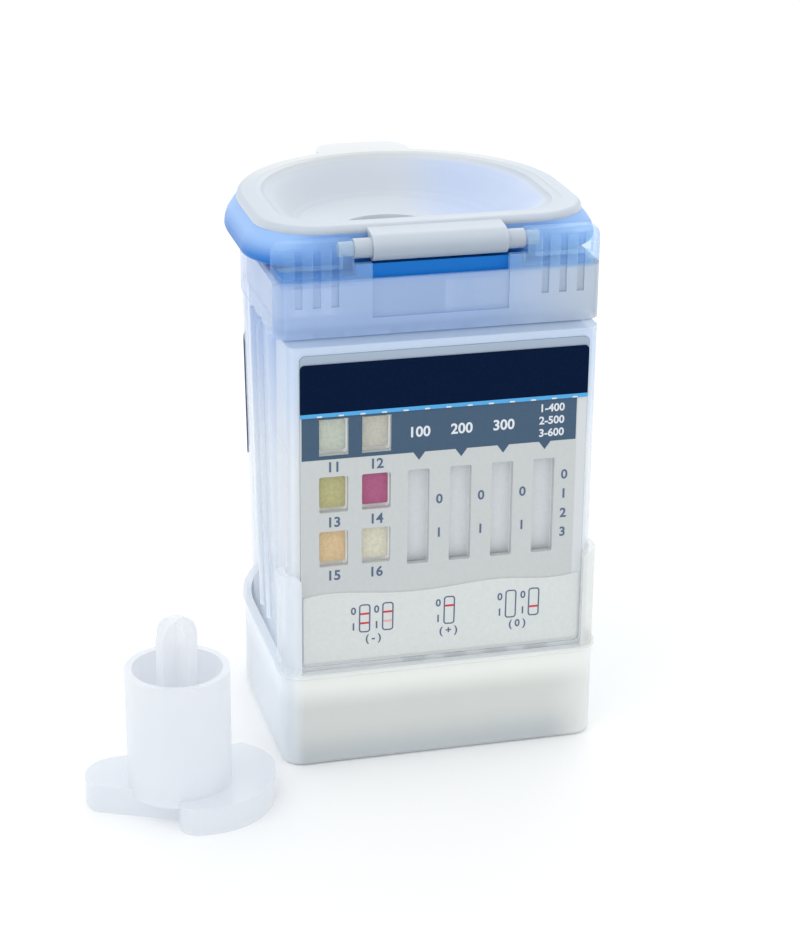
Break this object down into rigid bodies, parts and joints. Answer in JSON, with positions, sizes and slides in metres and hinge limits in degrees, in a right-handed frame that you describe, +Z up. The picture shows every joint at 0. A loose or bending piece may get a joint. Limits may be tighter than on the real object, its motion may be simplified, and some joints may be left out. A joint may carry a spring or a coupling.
{
  "type": "urine drug test cup",
  "caption": "Clear sample cup with a hinged lid on a blue seal, test strips and reagent pads behind a flat front card, a piston at the back and a loose plastic key.",
  "frame": {"origin": "on the underside of the base, at the centre of the cup's round back wall", "axes": "+Z up, -Y out of the flat front with the test card, +X to the right seen from the front"},
  "size_m": [0.1096, 0.0992, 0.1092],
  "materials": {
    "clear_plastic": "clear, faintly frosted, slightly blue",
    "base_plastic": "clear, satin",
    "card": "matt white card",
    "strip_holder": "matt white",
    "test_strip": "matt pale blue-grey membrane",
    "reagent_backing": "satin white",
    "pad_orange": "matt pale orange",
    "pad_olive": "matt olive",
    "pad_grey": "matt grey-green",
    "pad_cream": "matt cream",
    "pad_magenta": "matt magenta",
    "pad_beige": "matt beige",
    "navy_label": "satin navy label with a light blue lower edge",
    "white_label": "matt white label",
    "temperature_strip": "satin dark blue strip",
    "lid_white": "satin white",
    "seal_blue": "satin bright blue",
    "piston_white": "satin white",
    "seal_black": "matt black",
    "key_white": "satin translucent white"
  },
  "bodies": {
    "cup": {"cup_body": "clear_plastic", "base_tray": "base_plastic", "cartridge_cover": "clear_plastic", "test_card": "card", "strip_holder": "strip_holder", "test_strip_1": "test_strip", "test_strip_2": "test_strip", "test_strip_3": "test_strip", "test_strip_4": "test_strip", "reagent_strip_left": "reagent_backing", "reagent_strip_right": "reagent_backing", "reagent_pad_left_low": "pad_orange", "reagent_pad_left_middle": "pad_olive", "reagent_pad_left_high": "pad_grey", "reagent_pad_right_low": "pad_cream", "reagent_pad_right_middle": "pad_magenta", "reagent_pad_right_high": "pad_beige", "upper_label": "navy_label", "lower_label": "white_label", "temperature_strip": "temperature_strip", "key": "key_white"},
    "lid": {"lid": "lid_white", "lid_seal": "seal_blue"},
    "piston": {"piston": "piston_white", "piston_seal": "seal_black"}
  },
  "joints": [
    {"name": "lid_hinge", "type": "hinge", "parent": "cup", "child": "lid", "pos_m": [0, -0.0289, 0.1057], "axis": [1, 0, 0], "range_deg": [0, 105]},
    {"name": "piston_slide", "type": "slide", "parent": "cup", "child": "piston", "axis": [0, -1, 0], "range_m": [0, 0.014]}
  ]
}
